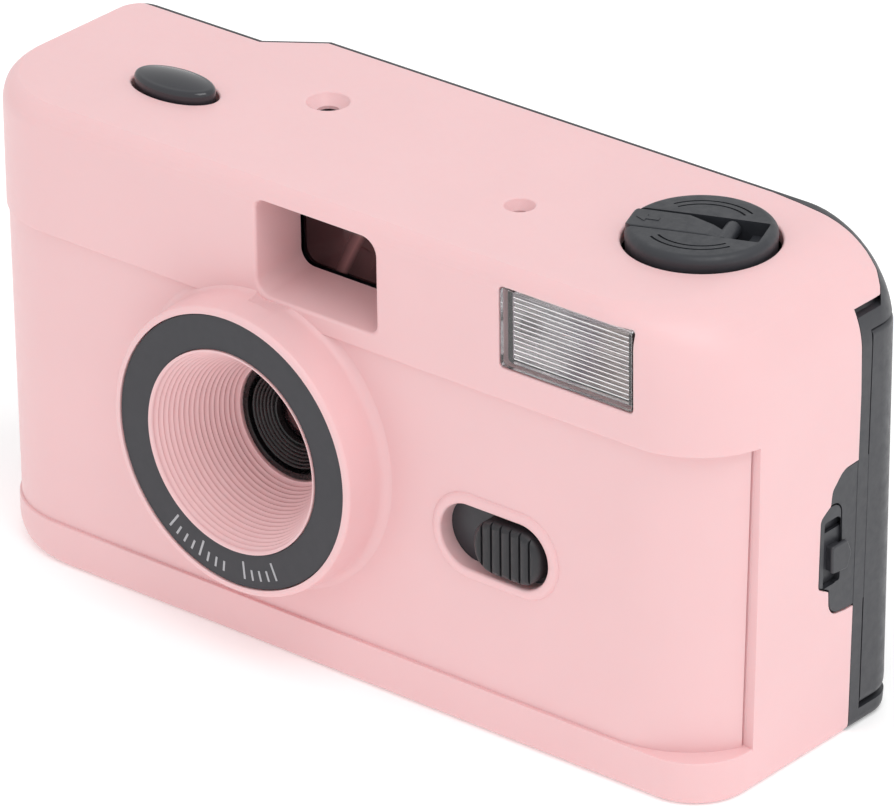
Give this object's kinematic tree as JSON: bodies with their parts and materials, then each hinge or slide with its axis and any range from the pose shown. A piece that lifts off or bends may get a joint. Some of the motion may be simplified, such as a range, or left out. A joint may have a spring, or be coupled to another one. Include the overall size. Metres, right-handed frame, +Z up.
{
  "type": "half frame camera",
  "caption": "Compact reusable half frame film camera with fixed wide lens, viewfinder, built-in flash, thumb-wheel advance and fold-out rewind crank.",
  "frame": {"origin": "on the base plane, under the middle of the whole camera's box", "axes": "+X to the right seen from the front (towards the rewind knob), +Y from the lens to the back door, +Z up through the shutter button and knob"},
  "size_m": [0.1124, 0.0412, 0.0607],
  "materials": {
    "pink_body": "pale pink moulded ABS, satin",
    "black_body": "black moulded ABS, satin",
    "ring_black": "printed flat black trim ring",
    "lens_black": "black lens barrel, semi-gloss",
    "switch_black": "black ribbed switch cap",
    "knob_black": "fine-textured black knob plastic",
    "gloss_black": "polished dark grey plastic",
    "clear_window": "clear polycarbonate",
    "coated_glass": "coated optical plastic",
    "reflector": "vacuum-metallised reflector",
    "counter_white": "white dial plastic",
    "board_green": "glass-epoxy circuit board",
    "lamp_orange": "tinted lamp lens",
    "steel": "stamped and plated steel"
  },
  "bodies": {
    "camera_body": {"front_shell": "pink_body", "main_chassis": "black_body", "lens_ring": "ring_black", "lens_barrel": "lens_black", "front_lens_element": "coated_glass", "rear_lens_element": "coated_glass", "aperture_plate": "steel", "viewfinder_front_lens": "coated_glass", "viewfinder_housing": "black_body", "viewfinder_eyepiece": "clear_window", "flash_window": "clear_window", "flash_reflector": "reflector", "flash_tube": "clear_window", "flash_circuit_board": "board_green", "flash_capacitor": "gloss_black", "flash_ready_lamp": "lamp_orange", "flash_switch_plate": "black_body", "shutter_button_spring": "steel", "frame_counter_window": "clear_window", "door_hinge_pin": "steel", "battery_contact_positive": "steel", "battery_contact_negative": "steel", "top_screw_left": "steel", "top_screw_right": "steel", "base_screw_left": "steel", "base_screw_right": "steel"},
    "shutter_button": {"shutter_button": "gloss_black"},
    "shutter_release_lever": {"shutter_release_lever": "steel"},
    "shutter_blade": {"shutter_blade": "steel"},
    "flash_switch": {"flash_switch_slider": "switch_black"},
    "rewind": {"rewind_knob": "knob_black", "rewind_fork_shaft": "black_body", "rewind_crank_pin": "steel"},
    "rewind_crank": {"rewind_crank": "knob_black"},
    "film_advance": {"film_advance_wheel": "knob_black", "take_up_spool": "black_body"},
    "sprocket": {"sprocket_shaft": "black_body"},
    "frame_counter": {"frame_counter_disc": "counter_white"},
    "rewind_release": {"rewind_release_button": "knob_black"},
    "back_door": {"back_door": "black_body", "pressure_spring": "steel"},
    "pressure_plate": {"pressure_plate": "steel"},
    "door_latch": {"door_latch": "black_body"},
    "battery_door": {"battery_door": "pink_body"}
  },
  "joints": [
    {"name": "shutter_press", "type": "slide", "parent": "camera_body", "child": "shutter_button", "axis": [0, 0, -1], "range_m": [0, 0.0013], "stiffness_N_per_m": 300, "springref_m": -0.002, "deforming": ["shutter_button_spring"]},
    {"name": "release_lever_swing", "type": "hinge", "parent": "camera_body", "child": "shutter_release_lever", "pos_m": [-0.02325, -0.0036, 0.0465], "axis": [0, -1, 0], "range_deg": [0, 8]},
    {"name": "shutter_blade_swing", "type": "hinge", "parent": "camera_body", "child": "shutter_blade", "pos_m": [-0.01725, -0.0048, 0.0335], "axis": [0, -1, 0], "range_deg": [0, 34.5]},
    {"name": "flash_switch_slide", "type": "slide", "parent": "camera_body", "child": "flash_switch", "axis": [-1, 0, 0], "range_m": [0, 0.0049]},
    {"name": "rewind_turn", "type": "hinge", "parent": "camera_body", "child": "rewind", "pos_m": [0.03795, 0.0055, 0.055], "axis": [0, 0, 1], "continuous": true},
    {"name": "crank_fold", "type": "hinge", "parent": "rewind", "child": "rewind_crank", "pos_m": [0.04074, 0.0066, 0.0596], "axis": [-0.3665, 0.9304, 0], "range_deg": [0, 150]},
    {"name": "advance_turn", "type": "hinge", "parent": "camera_body", "child": "film_advance", "pos_m": [-0.04305, 0.0052, 0.05], "axis": [0, 0, 1], "continuous": true},
    {"name": "sprocket_turn", "type": "hinge", "parent": "camera_body", "child": "sprocket", "pos_m": [-0.02545, 0.0082, 0.02], "axis": [0, 0, 1], "continuous": true},
    {"name": "counter_turn", "type": "hinge", "parent": "camera_body", "child": "frame_counter", "pos_m": [-0.04125, 0.001, 0.003], "axis": [0, 0, 1], "continuous": true},
    {"name": "rewind_release_press", "type": "slide", "parent": "camera_body", "child": "rewind_release", "axis": [0, 0, 1], "range_m": [0, 0.001], "stiffness_N_per_m": 200, "springref_m": -0.002},
    {"name": "back_door_swing", "type": "hinge", "parent": "camera_body", "child": "back_door", "pos_m": [-0.05285, 0.0139, 0.027], "axis": [0, 0, 1], "range_deg": [0, 110]},
    {"name": "pressure_plate_slide", "type": "slide", "parent": "back_door", "child": "pressure_plate", "axis": [0, 1, 0], "range_m": [0, 0.0012], "stiffness_N_per_m": 200, "springref_m": -0.002},
    {"name": "latch_slide", "type": "slide", "parent": "camera_body", "child": "door_latch", "axis": [0, 0, 1], "range_m": [0, 0.003], "stiffness_N_per_m": 150, "springref_m": -0.002},
    {"name": "battery_door_slide", "type": "slide", "parent": "camera_body", "child": "battery_door", "axis": [1, 0, 0], "range_m": [0, 0.005]}
  ],
  "couplings": [
    {"joint": "release_lever_swing", "follows": "shutter_press", "rad_per_m": 105},
    {"joint": "shutter_blade_swing", "follows": "shutter_press", "rad_per_m": 456},
    {"joint": "sprocket_turn", "follows": "advance_turn", "ratio": 1.16},
    {"joint": "counter_turn", "follows": "advance_turn", "ratio": -0.05}
  ]
}
